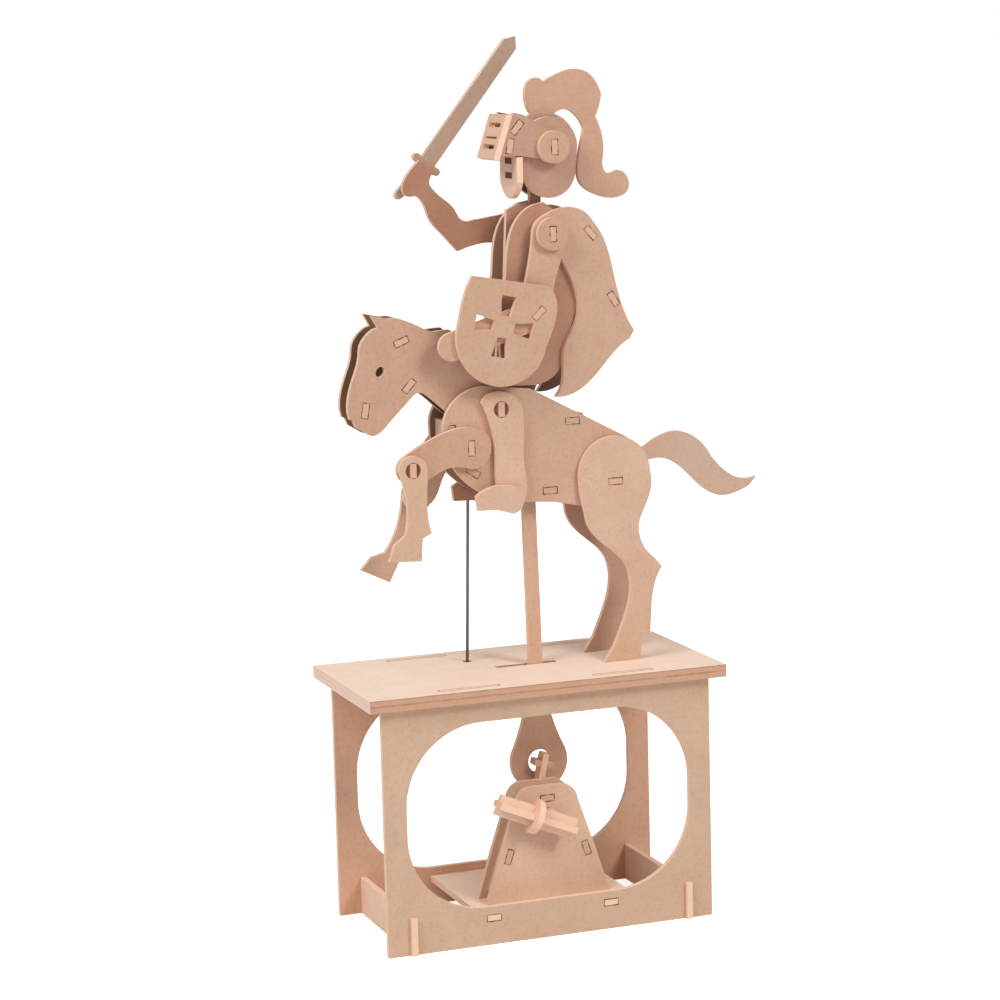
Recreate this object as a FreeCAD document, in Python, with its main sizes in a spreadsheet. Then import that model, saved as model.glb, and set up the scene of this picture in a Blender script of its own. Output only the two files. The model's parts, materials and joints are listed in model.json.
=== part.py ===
import FreeCAD
import Part
import math
import os

# A crank automaton cut from flat sheet: a rearing horse and its rider stand on an open box,
# and a crank under the deck lifts a post that rocks the horse about its hind hips.
# Frame: +Z up from the table, +X towards the horse's tail, -Y towards the viewer.
# The figure's outlines are read from a full-size pattern: x from the deck's middle and
# height above the deck's top, on a grid of pattern_square millimetres.

doc = FreeCAD.newDocument("crank_automaton")
sizes = doc.addObject("Spreadsheet::Sheet", "Sizes")

DRIVING_SIZES = {
    "frame_shift": 0,
    "sheet_thick": 3,
    "pattern_square": 10,
    "tab_length": 7,
    "tab_shoulder": 2,
    "slot_ease": 0.6,
    "run_ease": 0.08,
    "side_gap": 0.5,
    "deck_length": 180,
    "deck_depth": 90,
    "panel_width": 166,
    "panel_rise": 119,
    "panel_spread": 79,
    "panel_tab": 30,
    "panel_tab_place": 39,
    "window_width": 144,
    "window_rise": 90,
    "window_sill": 18.5,
    "window_corner": 38,
    "rail_rise": 18,
    "rail_place": 70.5,
    "rail_stub": 2,
    "floor_level": 11.5,
    "floor_left": 35.5,
    "floor_right": 44,
    "floor_tab_place": 30,
    "shaft_offset": 4,
    "shaft_rise": 54,
    "bearing_face": 24,
    "bearing_gap": 9,
    "bearing_rise": 70,
    "bearing_wall": 20,
    "bearing_lid": 8,
    "strip_width": 10,
    "shaft_front": 31.5,
    "crank_throw": 23.2,
    "crank_arm": 6.7,
    "crank_lead": 0.3,
    "pin_angle": 13.2,
    "lever_angle": 157,
    "lever_reach": 31,
    "lever_tail": 11,
    "lever_disc_dia": 17,
    "lever_disc_place": 10.7,
    "pear_radius": 14.6,
    "pear_hole": 11.6,
    "post_width": 6.5,
    "post_slot": 31.2,
    "pivot_dia": 4,
    "head_width": 15.4,
    "helmet_width": 16,
    "torso_width": 22,
    "trunk_width": 23,
    "washer_radius": 7.7,
    "wire_dia": 1.5,
    "wire_layer": 19.4,
}
for row, (alias, value) in enumerate(DRIVING_SIZES.items(), start=1):
    sizes.set("A%d" % row, alias)
    sizes.set("B%d" % row, str(value))
    sizes.setAlias("B%d" % row, alias)
doc.recompute()


def size(alias):
    return float(sizes.get(alias))


THICK = size("sheet_thick")
HALF = THICK / 2
TAB = size("tab_length")
DECK_TOP = size("panel_rise") + 2 * THICK
PATTERN = size("pattern_square") / 10
RUN_RADIUS = math.hypot(TAB, THICK) / 2 + size("run_ease")

# Levels of the figure's sheets, each the distance of its inner face from the middle plane
HANGER = "Sizes.sheet_thick / 2 + 0.1"
HEAD = "Sizes.head_width / 2 - Sizes.sheet_thick"
HELMET = "Sizes.helmet_width / 2 - Sizes.sheet_thick"
TORSO = "Sizes.torso_width / 2 - Sizes.sheet_thick"
TRUNK = "Sizes.trunk_width / 2 - Sizes.sheet_thick"
CAPE = "Sizes.torso_width / 2"
VISOR = "Sizes.helmet_width / 2 + Sizes.side_gap"
EAR_WASHER = VISOR + " + Sizes.sheet_thick + 0.1"
LIMB = "Sizes.trunk_width / 2 + Sizes.side_gap"
ARM = CAPE + " + Sizes.sheet_thick + 0.2"
SHIN = LIMB + " + Sizes.sheet_thick + Sizes.side_gap"
HAND = ARM + " + Sizes.sheet_thick"
WASHER = HAND + " + 0.2"
SHIELD = HAND + " + Sizes.sheet_thick"
NEAR = -1
FAR = 1


def level(expression):
    """The millimetres that an expression of the sheet's cells gives."""
    for alias in sorted(DRIVING_SIZES, key=len, reverse=True):
        expression = expression.replace("Sizes." + alias, repr(size(alias)))
    total = 0
    for term in expression.replace(" - ", " + -").split(" + "):
        value = 1.0
        for place, factor in enumerate(term.split(" / ")):
            value = float(factor) if place == 0 else value / float(factor)
        total += value
    return total


# Pivots of the figure on the pattern
HIP = (46.9, 88.4)
FORE = (-26.1, 109.5)
KNEE = (-56.5, 101.5)
RIDER_HIP = (-10.6, 127.0)
SHOULDER = (15.5, 208.7)
EAR = (19.5, 249.0)
POST_TOP = (6.6, 121.0)
SADDLE_STRIP = (26.6, 118.6)
BELLY_STRIP = (14.4, 85.9)
BRISKET_STRIP = (-24.5, 97.6)
RUMP_STRIP = (56.6, 98.8)
CHEST_STRIP = (-34.4, 117.0)
CHEST_HALF = 5.0
WAIST_STRIP = (1.0, 152.0)
CAPE_STRIPS = [(37.0, 208.0, -49), (48.0, 176.0, -57)]
HEAD_STRIPS = [(-57.0, 161.1, 21), (-53.8, 140.2, 47), (-75.6, 129.9, 80)]
FAR_FORELEG_TURN = 39.6
FAR_SHIN_TURN = -23.1
WIRE_HOOK = (-20.3, 105.6)
WIRE_HOLE = (-19.2, 0.0)


class Outline:
    """A closed profile drawn edge by edge, in order round its piece."""

    def __init__(self, x, z, scale=1.0):
        self.scale = scale
        self.edges = []
        self.first = self.point(x, z)
        self.last = self.first

    def point(self, x, z):
        return FreeCAD.Vector(x * self.scale, z * self.scale, 0)

    def line(self, *corners):
        for corner in corners:
            end = self.point(*corner)
            self.edges.append(Part.LineSegment(self.last, end))
            self.last = end
        return self

    def arc(self, middle, end):
        finish = self.point(*end)
        self.edges.append(Part.Arc(self.last, self.point(*middle), finish))
        self.last = finish
        return self

    def curve(self, *points):
        ends = [self.point(*point) for point in points]
        spline = Part.BSplineCurve()
        spline.interpolate([self.last] + ends)
        self.edges.append(spline)
        self.last = ends[-1]
        return self

    def close(self):
        if self.last.distanceToPoint(self.first) > 1e-6:
            self.edges.append(Part.LineSegment(self.last, self.first))
        return self.edges


def figure(x, z):
    """An outline that starts on the full-size pattern."""
    return Outline(x, z, PATTERN)


def on_pattern(place):
    return (place[0] * PATTERN, place[1] * PATTERN)


def circle(centre, radius):
    return [Part.Circle(FreeCAD.Vector(centre[0], centre[1], 0), FreeCAD.Vector(0, 0, 1), radius)]


def rectangle(centre, length, width, tilt=0):
    """A rectangle whose long side makes the angle tilt with the first axis."""
    along = FreeCAD.Vector(math.cos(math.radians(tilt)), math.sin(math.radians(tilt)), 0)
    across = FreeCAD.Vector(-along.y, along.x, 0)
    middle = FreeCAD.Vector(centre[0], centre[1], 0)
    corners = []
    for end, side in ((-1, -1), (1, -1), (1, 1), (-1, 1)):
        corners.append(middle + along * (end * length / 2) + across * (side * width / 2))
    return [Part.LineSegment(corners[i - 1], corners[i]) for i in range(4)]


def slot(place, tilt):
    """The opening for a tab or a strip, a little longer than the tab."""
    return rectangle(on_pattern(place), TAB + size("slot_ease"), THICK, tilt)


def shoulder_slot(place, tilt):
    """The opening in a middle sheet for a spacer's full width between the side sheets."""
    return rectangle(on_pattern(place), TAB + 2 * size("tab_shoulder") + size("slot_ease"), THICK, tilt)


def run_hole(place):
    """The round hole in which a flat strip turns."""
    return circle(on_pattern(place), RUN_RADIUS)


def padded(name, plane, loops, thickness="Sizes.sheet_thick"):
    """A body with one sketch on an origin plane, padded to both sides."""
    body = doc.addObject("PartDesign::Body", name)
    body.Label = name
    sketch = body.newObject("Sketcher::SketchObject", name + "_outline")
    base = [item for item in body.Origin.OriginFeatures if item.Role == plane][0]
    sketch.AttachmentSupport = [(base, "")]
    sketch.MapMode = "FlatFace"
    for loop in loops:
        sketch.addGeometry(loop, False)
    pad = body.newObject("PartDesign::Pad", name + "_sheet")
    pad.Profile = sketch
    pad.setExpression("Length", thickness)
    pad.SideType = "Symmetric"
    return body


def place(body, x="0", y="0", z="0"):
    body.setExpression("Placement.Base.x", x + " - Sizes.frame_shift")
    body.setExpression("Placement.Base.y", y)
    body.setExpression("Placement.Base.z", z)
    return body


def turned(body, angle, pivot=(0, 0), x="0", y="0", z="0"):
    """Turn a body about the Y axis through a pivot, anticlockwise as the viewer sees it."""
    body.Placement.Rotation = FreeCAD.Rotation(FreeCAD.Vector(0, -1, 0), angle)
    start = FreeCAD.Vector(pivot[0], 0, pivot[1])
    moved = start - body.Placement.Rotation.multVec(start)
    return place(body, "%.6f + %s" % (moved.x, x), y, "%.6f + %s" % (moved.z, z))


DECK_LEVEL = "Sizes.panel_rise + 2 * Sizes.sheet_thick"


def mid_layer(side, inner):
    return "%d * (%s + Sizes.sheet_thick / 2)" % (side, inner)


def side_sheet(name, side, inner, loops, turn=0, pivot=(0, 0)):
    """A figure sheet parallel to the middle plane, on the near or the far side."""
    body = padded(name, "XZ_Plane", loops)
    return turned(body, turn, on_pattern(pivot), "0", mid_layer(side, inner), DECK_LEVEL)


def middle_sheet(name, loops):
    body = padded(name, "XZ_Plane", loops)
    return place(body, "0", "0", DECK_LEVEL)


def cross_sheet(name, spot, tilt, steps, holes=()):
    """A piece square to the side sheets: steps of (half width, half depth) from the inside out."""
    profile = []
    for number, (half_width, half_depth) in enumerate(steps):
        inner_depth = steps[number - 1][1] if number else 0
        profile.append((half_width, inner_depth))
        profile.append((half_width, half_depth))
    corners = profile[1:]
    corners += [(-x, y) for x, y in reversed(profile)]
    corners += [(-x, -y) for x, y in profile[1:]]
    corners += [(x, -y) for x, y in reversed(profile[1:])]
    clean = []
    for corner in corners:
        if not clean or math.dist(clean[-1], corner) > 1e-6:
            clean.append(corner)
    outline = Outline(*clean[0]).line(*clean[1:]).close()
    body = padded(name, "XY_Plane", [outline] + list(holes))
    spot_x, spot_z = on_pattern(spot)
    return turned(body, tilt, (0, 0), "%.6f" % spot_x, "0", "%.6f + %s" % (spot_z, DECK_LEVEL))


def spacer(name, spot, tilt, inner):
    """A spacer with shoulders between two sheets and tabs through their slots."""
    reach = level(inner)
    wide = TAB / 2 + size("tab_shoulder")
    return cross_sheet(name, spot, tilt, [(wide, reach), (TAB / 2, reach + THICK)])


def strip(name, spot, tilt, reach):
    """A plain strip right through several sheets."""
    return cross_sheet(name, spot, tilt, [(TAB / 2, reach)])


def joined(name, pieces):
    """Several like pieces of one rigid body, kept as one named sub-part."""
    group = doc.addObject("Part::Compound", name)
    group.Label = name
    group.Links = pieces
    return group


NODES = []


def keep(node):
    NODES.append(node)
    return node


# Open box base
SHAFT = (size("shaft_offset"), size("shaft_rise"))
PANEL_MIDDLE = size("panel_spread") / 2 - HALF
HOOF_TAB = 8
HOOF_X = 49
WIRE_HOLE_RADIUS = size("wire_dia") / 2 + 1.4


def deck_board(name, height):
    loops = [rectangle((0, 0), size("deck_length"), size("deck_depth"))]
    loops.append(rectangle((SHAFT[0], 0), size("post_slot"), THICK + 0.8))
    for end in (-1, 1):
        for side in (NEAR, FAR):
            tab = (end * size("panel_tab_place"), side * PANEL_MIDDLE)
            loops.append(rectangle(tab, size("panel_tab") + size("slot_ease"), THICK))
    hoof_y = level(LIMB) + HALF
    for side in (NEAR, FAR):
        loops.append(rectangle((HOOF_X, side * hoof_y), HOOF_TAB + size("slot_ease"), THICK))
    loops.append(circle((WIRE_HOLE[0] * PATTERN, size("wire_layer")), WIRE_HOLE_RADIUS))
    body = padded(name, "XY_Plane", loops)
    return place(body, "0", "0", "Sizes.panel_rise + %s" % height)


def window():
    half = size("window_width") / 2
    low = size("window_sill")
    high = low + size("window_rise")
    bend = size("window_corner")
    cut = bend * (1 - math.sqrt(0.5))
    ring = Outline(-half + bend, low).line((half - bend, low))
    ring.arc((half - cut, low + cut), (half, low + bend)).line((half, high - bend))
    ring.arc((half - cut, high - cut), (half - bend, high)).line((-half + bend, high))
    ring.arc((-half + cut, high - cut), (-half, high - bend)).line((-half, low + bend))
    ring.arc((-half + cut, low + cut), (-half + bend, low))
    return ring.close()


def panel(name, side):
    """A long side of the box: rail slots below, deck tabs above, a rounded window between."""
    half = size("panel_width") / 2
    rise = size("panel_rise")
    half_rail = size("rail_rise") / 2
    rail = size("rail_place")
    near_tab = size("panel_tab_place") - size("panel_tab") / 2
    far_tab = size("panel_tab_place") + size("panel_tab") / 2
    edge = Outline(-half, 0)
    for middle in (-rail, rail):
        left = middle - HALF
        right = middle + HALF
        edge.line((left, 0), (left, half_rail), (right, half_rail), (right, 0))
    edge.line((half, 0), (half, rise))
    for right, left in ((far_tab, near_tab), (-near_tab, -far_tab)):
        edge.line((right, rise), (right, DECK_TOP), (left, DECK_TOP), (left, rise))
    edge.line((-half, rise))
    loops = [edge.close(), window()]
    for end in (-1, 1):
        spot = (end * size("floor_tab_place"), size("floor_level") + HALF)
        loops.append(rectangle(spot, TAB + size("slot_ease"), THICK))
    body = padded(name, "XZ_Plane", loops)
    return place(body, "0", "%d * (Sizes.panel_spread - Sizes.sheet_thick) / 2" % side)


def rail(name, end):
    """A low end rail, cross-halved with both panels."""
    half = size("panel_spread") / 2 + size("rail_stub")
    rise = size("rail_rise")
    edge = Outline(-half, 0).line((half, 0), (half, rise))
    for middle in (PANEL_MIDDLE, -PANEL_MIDDLE):
        left = middle - HALF
        right = middle + HALF
        edge.line((right, rise), (right, rise / 2), (left, rise / 2), (left, rise))
    edge.line((-half, rise))
    body = padded(name, "YZ_Plane", [edge.close()])
    return place(body, "%d * Sizes.rail_place" % end)


BEARING_REAR = size("bearing_face") - THICK - size("bearing_gap") - THICK
BEARING_TAB = 12


def floor_plate():
    half = PANEL_MIDDLE - HALF
    left = -size("floor_left")
    right = size("floor_right")
    tab = TAB / 2
    spot = size("floor_tab_place")
    edge = Outline(left, -half)
    for x in (-spot, spot):
        edge.line((x - tab, -half), (x - tab, -half - THICK), (x + tab, -half - THICK), (x + tab, -half))
    edge.line((right, -half), (right, half))
    for x in (spot, -spot):
        edge.line((x + tab, half), (x + tab, half + THICK), (x - tab, half + THICK), (x - tab, half))
    edge.line((left, half))
    loops = [edge.close()]
    for face in (size("bearing_face") - HALF, BEARING_REAR + HALF):
        loops.append(rectangle((SHAFT[0], -face), BEARING_TAB + size("slot_ease"), THICK))
    body = padded("floor_plate", "XY_Plane", loops)
    return place(body, "0", "0", "Sizes.floor_level + Sizes.sheet_thick / 2")


FLOOR_TOP = size("floor_level") + THICK
BEARING_TOP = size("bearing_rise") - SHAFT[1]
SHAFT_RADIUS = math.hypot(size("strip_width"), THICK) / 2
WALL_TILT = 18.2
WALL_SPOT = (19.9, -17.0)
LID_SPOT = (0.3, 9.8)


def bearing_plate(name, face):
    """A bearing plate drawn round the shaft, its sides leaning in to rounded shoulders."""
    base = FLOOR_TOP - SHAFT[1]
    tab = BEARING_TAB / 2
    edge = Outline(-31.7, base).line((-tab, base), (-tab, base - THICK), (tab, base - THICK))
    edge.line((tab, base), (31.7, base), (24.6, -17), (16, 8))
    edge.arc((13.6, 13.4), (9, BEARING_TOP)).line((-9, BEARING_TOP))
    edge.arc((-13.6, 13.4), (-16, 8)).line((-24.6, -17))
    loops = [edge.close(), circle((0, 0), SHAFT_RADIUS + size("run_ease"))]
    for end in (-1, 1):
        loops.append(rectangle((end * WALL_SPOT[0], WALL_SPOT[1]), TAB, THICK, 90 + end * WALL_TILT))
    loops.append(rectangle(LID_SPOT, TAB, THICK))
    body = padded(name, "XZ_Plane", loops)
    middle = "%s + Sizes.sheet_thick / 2" % face
    return place(body, "Sizes.shaft_offset", middle, "Sizes.shaft_rise")


def bearing_spacer(name, spot, tilt, half_width):
    gap = size("bearing_gap") / 2
    profile = [(half_width, gap), (TAB / 2, gap + THICK)]
    body = cross_sheet(name, (0, 0), tilt, profile)
    middle = "-Sizes.bearing_face + Sizes.sheet_thick + Sizes.bearing_gap / 2"
    return place(body, "Sizes.shaft_offset + %r" % spot[0], middle, "Sizes.shaft_rise + %r" % spot[1])


keep(deck_board("deck_lower", "Sizes.sheet_thick / 2"))
keep(deck_board("deck_upper", "Sizes.sheet_thick * 1.5"))
keep(panel("front_panel", NEAR))
keep(panel("back_panel", FAR))
keep(joined("end_rails", [rail("left_rail", -1), rail("right_rail", 1)]))
keep(floor_plate())
keep(bearing_plate("bearing_front_plate", "-Sizes.bearing_face"))
keep(bearing_plate("bearing_rear_plate", "-Sizes.bearing_face + Sizes.sheet_thick + Sizes.bearing_gap"))
walls = []
for end in (-1, 1):
    spot = (end * WALL_SPOT[0], WALL_SPOT[1])
    walls.append(bearing_spacer("bearing_wall_%d" % (end + 2), spot, 90 + end * WALL_TILT, size("bearing_wall")))
walls.append(bearing_spacer("bearing_lid", LID_SPOT, 0, size("bearing_lid")))
keep(joined("bearing_spacers", walls))


# Crank: strips crossed in a plus, with a T-shaped handle in front
CRANK_DEPTH = size("crank_arm")
CRANK_BACK = -HALF - size("crank_lead")
CRANK_FRONT = CRANK_BACK - CRANK_DEPTH
STRIP = size("strip_width") / 2
THROW = size("crank_throw")
FRONT = -size("shaft_front")
LAP = -20.0
PIN_LAP = CRANK_BACK - CRANK_DEPTH / 2


def crank_piece(body, radius=0):
    """Set a crank piece on the shaft's axis, turned to the crank's angle."""
    angle = math.radians(size("pin_angle"))
    body.Placement.Rotation = FreeCAD.Rotation(FreeCAD.Vector(0, 1, 0), size("pin_angle"))
    x = "Sizes.shaft_offset + %.6f" % (radius * math.sin(angle))
    z = "Sizes.shaft_rise + %.6f" % (radius * math.cos(angle))
    return place(body, x, "0", z)


def crank_plate():
    """Shaft sheet and crank arm in one, halved at both ends for the crossing strips."""
    tab = TAB / 2
    edge = Outline(FRONT, -STRIP).line((CRANK_BACK, -STRIP), (CRANK_BACK, THROW - HALF))
    edge.line((PIN_LAP, THROW - HALF), (PIN_LAP, THROW + HALF), (CRANK_BACK, THROW + HALF))
    edge.line((CRANK_BACK, THROW + STRIP), (CRANK_FRONT, THROW + STRIP), (CRANK_FRONT, STRIP))
    edge.line((FRONT, STRIP), (FRONT, tab), (FRONT - THICK, tab), (FRONT - THICK, HALF))
    edge.line((LAP, HALF), (LAP, -HALF), (FRONT - THICK, -HALF), (FRONT - THICK, -tab), (FRONT, -tab))
    return crank_piece(padded("crank_plate", "YZ_Plane", [edge.close()]))


def crossing_strip(name, front, lap, back, slot_at_back, radius):
    """The strip that crosses the crank plate, with a slot for its half of the lap."""
    if slot_at_back:
        edge = Outline(-STRIP, front).line((STRIP, front), (STRIP, back), (HALF, back))
        edge.line((HALF, lap), (-HALF, lap), (-HALF, back), (-STRIP, back))
    else:
        edge = Outline(-STRIP, back).line((STRIP, back), (STRIP, front), (HALF, front))
        edge.line((HALF, lap), (-HALF, lap), (-HALF, front), (-STRIP, front))
    return crank_piece(padded(name, "XY_Plane", [edge.close()]), radius)


keep(crank_plate())
keep(crossing_strip("shaft_cross_strip", FRONT, LAP, CRANK_FRONT - 0.3, True, 0))
keep(crossing_strip("pin_cross_strip", CRANK_FRONT, PIN_LAP, CRANK_BACK, False, THROW))

LEVER_Y = FRONT - HALF
LEVER_LAP = 19.0
FIN_START = 7.0
REACH = size("lever_reach")
SHAFT_TAB_TILT = 90 - size("pin_angle") - size("lever_angle")


def handle_piece(body, along=0, depth=0):
    """Set a handle piece at a distance along the lever from the shaft's axis."""
    angle = math.radians(size("lever_angle"))
    body.Placement.Rotation = FreeCAD.Rotation(FreeCAD.Vector(0, -1, 0), size("lever_angle"))
    x = "Sizes.shaft_offset + %.6f" % (along * math.cos(angle))
    z = "Sizes.shaft_rise + %.6f" % (along * math.sin(angle))
    return place(body, x, "-Sizes.shaft_front - Sizes.sheet_thick / 2 + %r" % depth, z)


def lever_plate():
    edge = Outline(-size("lever_tail"), -STRIP).line((REACH, -STRIP), (REACH, -HALF))
    edge.line((LEVER_LAP, -HALF), (LEVER_LAP, HALF), (REACH, HALF), (REACH, STRIP))
    edge.line((-size("lever_tail"), STRIP))
    half_tab = (TAB / 2 + HALF) / 2
    prong = TAB / 2 - HALF
    turn = math.radians(SHAFT_TAB_TILT)
    loops = [edge.close()]
    for side in (-1, 1):
        spot = (side * half_tab * math.cos(turn), side * half_tab * math.sin(turn))
        loops.append(rectangle(spot, prong, THICK, SHAFT_TAB_TILT))
    return handle_piece(padded("lever_plate", "XZ_Plane", loops))


def lever_fin():
    """The lever's second sheet: only its front half runs past the shaft."""
    tail = -size("lever_tail")
    edge = Outline(tail, -STRIP).line((REACH, -STRIP), (REACH, STRIP), (FIN_START, STRIP))
    edge.line((FIN_START, HALF), (LEVER_LAP, HALF), (LEVER_LAP, -HALF), (tail, -HALF))
    return handle_piece(padded("lever_fin", "XY_Plane", [edge.close()]))


def lever_disc():
    arm = STRIP
    cross = Outline(arm, -HALF).line((arm, HALF), (HALF, HALF), (HALF, arm), (-HALF, arm), (-HALF, HALF))
    cross.line((-arm, HALF), (-arm, -HALF), (-HALF, -HALF), (-HALF, -arm), (HALF, -arm), (HALF, -HALF))
    loops = [circle((0, 0), size("lever_disc_dia") / 2), cross.close()]
    return handle_piece(padded("lever_disc", "YZ_Plane", loops), size("lever_disc_place"))


keep(lever_plate())
keep(lever_fin())
keep(lever_disc())


# Post: a pear-shaped foot with the crank's hole, a bar, and an eye under the saddle
def post_lever():
    foot_x = SHAFT[0] + THROW * math.sin(math.radians(size("pin_angle")))
    foot_z = SHAFT[1] + THROW * math.cos(math.radians(size("pin_angle"))) - DECK_TOP
    bulge = size("pear_radius")
    half = size("post_width") / 2
    eye = on_pattern(POST_TOP)
    rim = 7
    shoulder = foot_z + bulge + 6.8
    edge = Outline(foot_x - bulge * 0.88, foot_z + bulge * 0.47)
    edge.arc((foot_x, foot_z - bulge), (foot_x + bulge * 0.88, foot_z + bulge * 0.47))
    edge.curve((foot_x + half * 2.2, shoulder), (foot_x + half * 0.9, 0))
    edge.line((eye[0] + half, eye[1] - rim * 0.88))
    edge.arc((eye[0], eye[1] + rim), (eye[0] - half, eye[1] - rim * 0.88))
    edge.line((foot_x - half * 1.2, 0))
    edge.curve((foot_x - half * 2.4, shoulder), (foot_x - bulge * 0.88, foot_z + bulge * 0.47))
    loops = [edge.close(), circle((foot_x, foot_z), size("pear_hole") / 2)]
    loops.append(circle(eye, size("pivot_dia") / 2 + size("run_ease")))
    return middle_sheet("post_lever", loops)


keep(post_lever())


def hind_leg(name, side):
    """Thigh disc, hock and hoof, with a tab that goes down through the deck."""
    left = HOOF_X - HOOF_TAB / 2
    right = HOOF_X + HOOF_TAB / 2
    tab = -2 * THICK
    edge = figure(28.3, 92.0).arc((46.6, 110.3), (64.9, 92.0))
    edge.curve((65.2, 84.1), (62.4, 76.0), (58.6, 66.8), (60.2, 57.1), (65.6, 50.3))
    edge.line((70.2, 44.9)).curve((66.6, 38.0), (65.2, 32.6), (63.2, 11.7))
    edge.line((59.3, 10.8), (58.0, 0), (right, 0), (right, tab), (left, tab), (left, 0))
    edge.line((39.3, 0), (44.7, 7.8))
    edge.curve((48.6, 16.8), (53.1, 29.7), (53.8, 39.0), (51.8, 46.5), (41.6, 57.0), (31.1, 73.7))
    edge.curve((28.9, 83.0), (28.3, 92.0))
    return side_sheet(name, side, LIMB, [edge.close(), slot(HIP, 0)])


keep(hind_leg("hind_leg_near", NEAR))
keep(hind_leg("hind_leg_far", FAR))
keep(strip("hip_axle", HIP, 0, level(LIMB) + THICK))


# Horse's trunk, tail and chest
def trunk(name, side):
    edge = figure(-15.4, 137.7).line((5.8, 135.3), (53.1, 109.7), (60.6, 105.0))
    edge.curve((63.4, 98.0), (62.5, 86.0), (55.0, 78.5), (42.0, 75.6), (30.5, 77.1), (15.1, 80.3))
    edge.curve((5.2, 81.1), (-10.0, 83.0), (-26.0, 91.0), (-36.0, 104.0), (-38.5, 116.9))
    edge.curve((-37.2, 125.8), (-31.0, 133.5), (-15.4, 137.7))
    loops = [edge.close(), run_hole(HIP), run_hole(FORE), slot(RIDER_HIP, 90)]
    loops += [slot(SADDLE_STRIP, 0), slot(BELLY_STRIP, 0), slot(BRISKET_STRIP, -35)]
    loops += [slot(RUMP_STRIP, 0), slot(CHEST_STRIP, 90)]
    return side_sheet(name, side, TRUNK, loops)


keep(trunk("trunk_near", NEAR))
keep(trunk("trunk_far", FAR))
trunk_gap = level(TRUNK)
chest_steps = [(CHEST_HALF, trunk_gap), (TAB / 2, trunk_gap + THICK)]
keep(joined("trunk_spacers", [
    spacer("saddle_strip", SADDLE_STRIP, 0, TRUNK),
    strip("belly_strip", BELLY_STRIP, 0, trunk_gap + THICK),
    spacer("brisket_strip", BRISKET_STRIP, -35, TRUNK),
    spacer("rump_strip", RUMP_STRIP, 0, TRUNK),
    cross_sheet("chest_plate", CHEST_STRIP, 90, chest_steps),
]))
keep(strip("rider_hip_axle", RIDER_HIP, 90, level(LIMB) + THICK + 0.3))


def tail():
    edge = figure(68.2, 101.8).curve((77.8, 107.2), (85.8, 108.4), (94.8, 104.8), (103.0, 95.3))
    edge.curve((109.1, 88.4), (117.1, 83.3), (127.4, 83.0)).line((123.5, 78.8))
    edge.curve((114.8, 75.5), (107.8, 75.0), (98.7, 79.7), (90.5, 87.8), (82.4, 93.9), (71.2, 95.7))
    edge.line((62.4, 94.4), (50.2, 95.2), (50.0, 102.4), (62.4, 102.4))
    return middle_sheet("tail", [edge.close(), shoulder_slot(RUMP_STRIP, 0)])


keep(tail())


def hanger(name, side):
    """A strap on the rider's hip axle and the saddle strip, with the post's pin in it."""
    edge = figure(-16.0, 131.2).curve((-10.6, 133.6), (6.6, 128.4), (26.6, 123.4), (34.8, 121.0))
    edge.line((34.8, 114.8)).curve((20.0, 113.8), (6.6, 113.4), (-6.0, 117.4), (-16.0, 121.2))
    loops = [edge.close(), slot(RIDER_HIP, 90), shoulder_slot(SADDLE_STRIP, 0)]
    loops.append(circle(on_pattern(POST_TOP), size("pivot_dia") / 2))
    return side_sheet(name, side, HANGER, loops)


keep(joined("post_hangers", [hanger("hanger_near", NEAR), hanger("hanger_far", FAR)]))


def post_pivot_pin():
    """The steel pin across both hangers."""
    radius = size("pivot_dia") / 2
    reach = level(HANGER) + THICK
    body = padded("post_pivot_pin", "XZ_Plane", [circle(on_pattern(POST_TOP), radius)], "%r" % (2 * reach))
    return place(body, "0", "0", DECK_LEVEL)


keep(post_pivot_pin())


# Horse's head and neck, which nod on the rider's hip axle
def eye_hole():
    centre = FreeCAD.Vector(-67.8 * PATTERN, 147.7 * PATTERN, 0)
    tilt = math.radians(55)
    long_end = FreeCAD.Vector(math.cos(tilt), math.sin(tilt), 0) * 2.65
    short_end = FreeCAD.Vector(-math.sin(tilt), math.cos(tilt), 0) * 2.0
    return [Part.Ellipse(centre + long_end, centre + short_end, centre)]


def head(name, side):
    edge = figure(-71.3, 174.1).line((-68.1, 168.4), (-70.6, 167.6))
    edge.curve((-74.6, 164.3), (-77.2, 160.0), (-77.8, 155.4), (-81.1, 144.8), (-84.1, 129.6))
    edge.line((-83.3, 126.2), (-81.8, 125.7), (-80.5, 122.3), (-75.2, 119.1))
    edge.curve((-71.8, 117.9), (-68.8, 119.1), (-63.7, 123.9), (-57.3, 130.1), (-51.5, 135.8))
    edge.curve((-48.5, 136.6), (-44.0, 134.3), (-35.3, 126.5), (-26.0, 120.2), (-15.0, 118.6))
    edge.arc((-1.9, 125.0), (-5.0, 134.0)).line((-14.0, 140.0))
    edge.curve((-22.0, 153.0), (-33.0, 165.5)).line((-38.6, 165.2))
    edge.curve((-43.1, 165.5), (-47.5, 167.6), (-53.3, 170.3), (-57.7, 172.0), (-63.1, 172.3))
    loops = [edge.close(), run_hole(RIDER_HIP), eye_hole()]
    loops += [slot((x, z), tilt) for x, z, tilt in HEAD_STRIPS]
    return side_sheet(name, side, HEAD, loops)


keep(head("head_near", NEAR))
keep(head("head_far", FAR))
head_pieces = []
for number, (x, z, tilt) in enumerate(HEAD_STRIPS, start=1):
    reach = level(HEAD)
    wide = TAB / 2 + 1
    steps = [(wide, reach), (TAB / 2, reach + THICK)]
    head_pieces.append(cross_sheet("head_spacer_%d" % number, (x, z), tilt, steps))
keep(joined("head_spacers", head_pieces))


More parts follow.
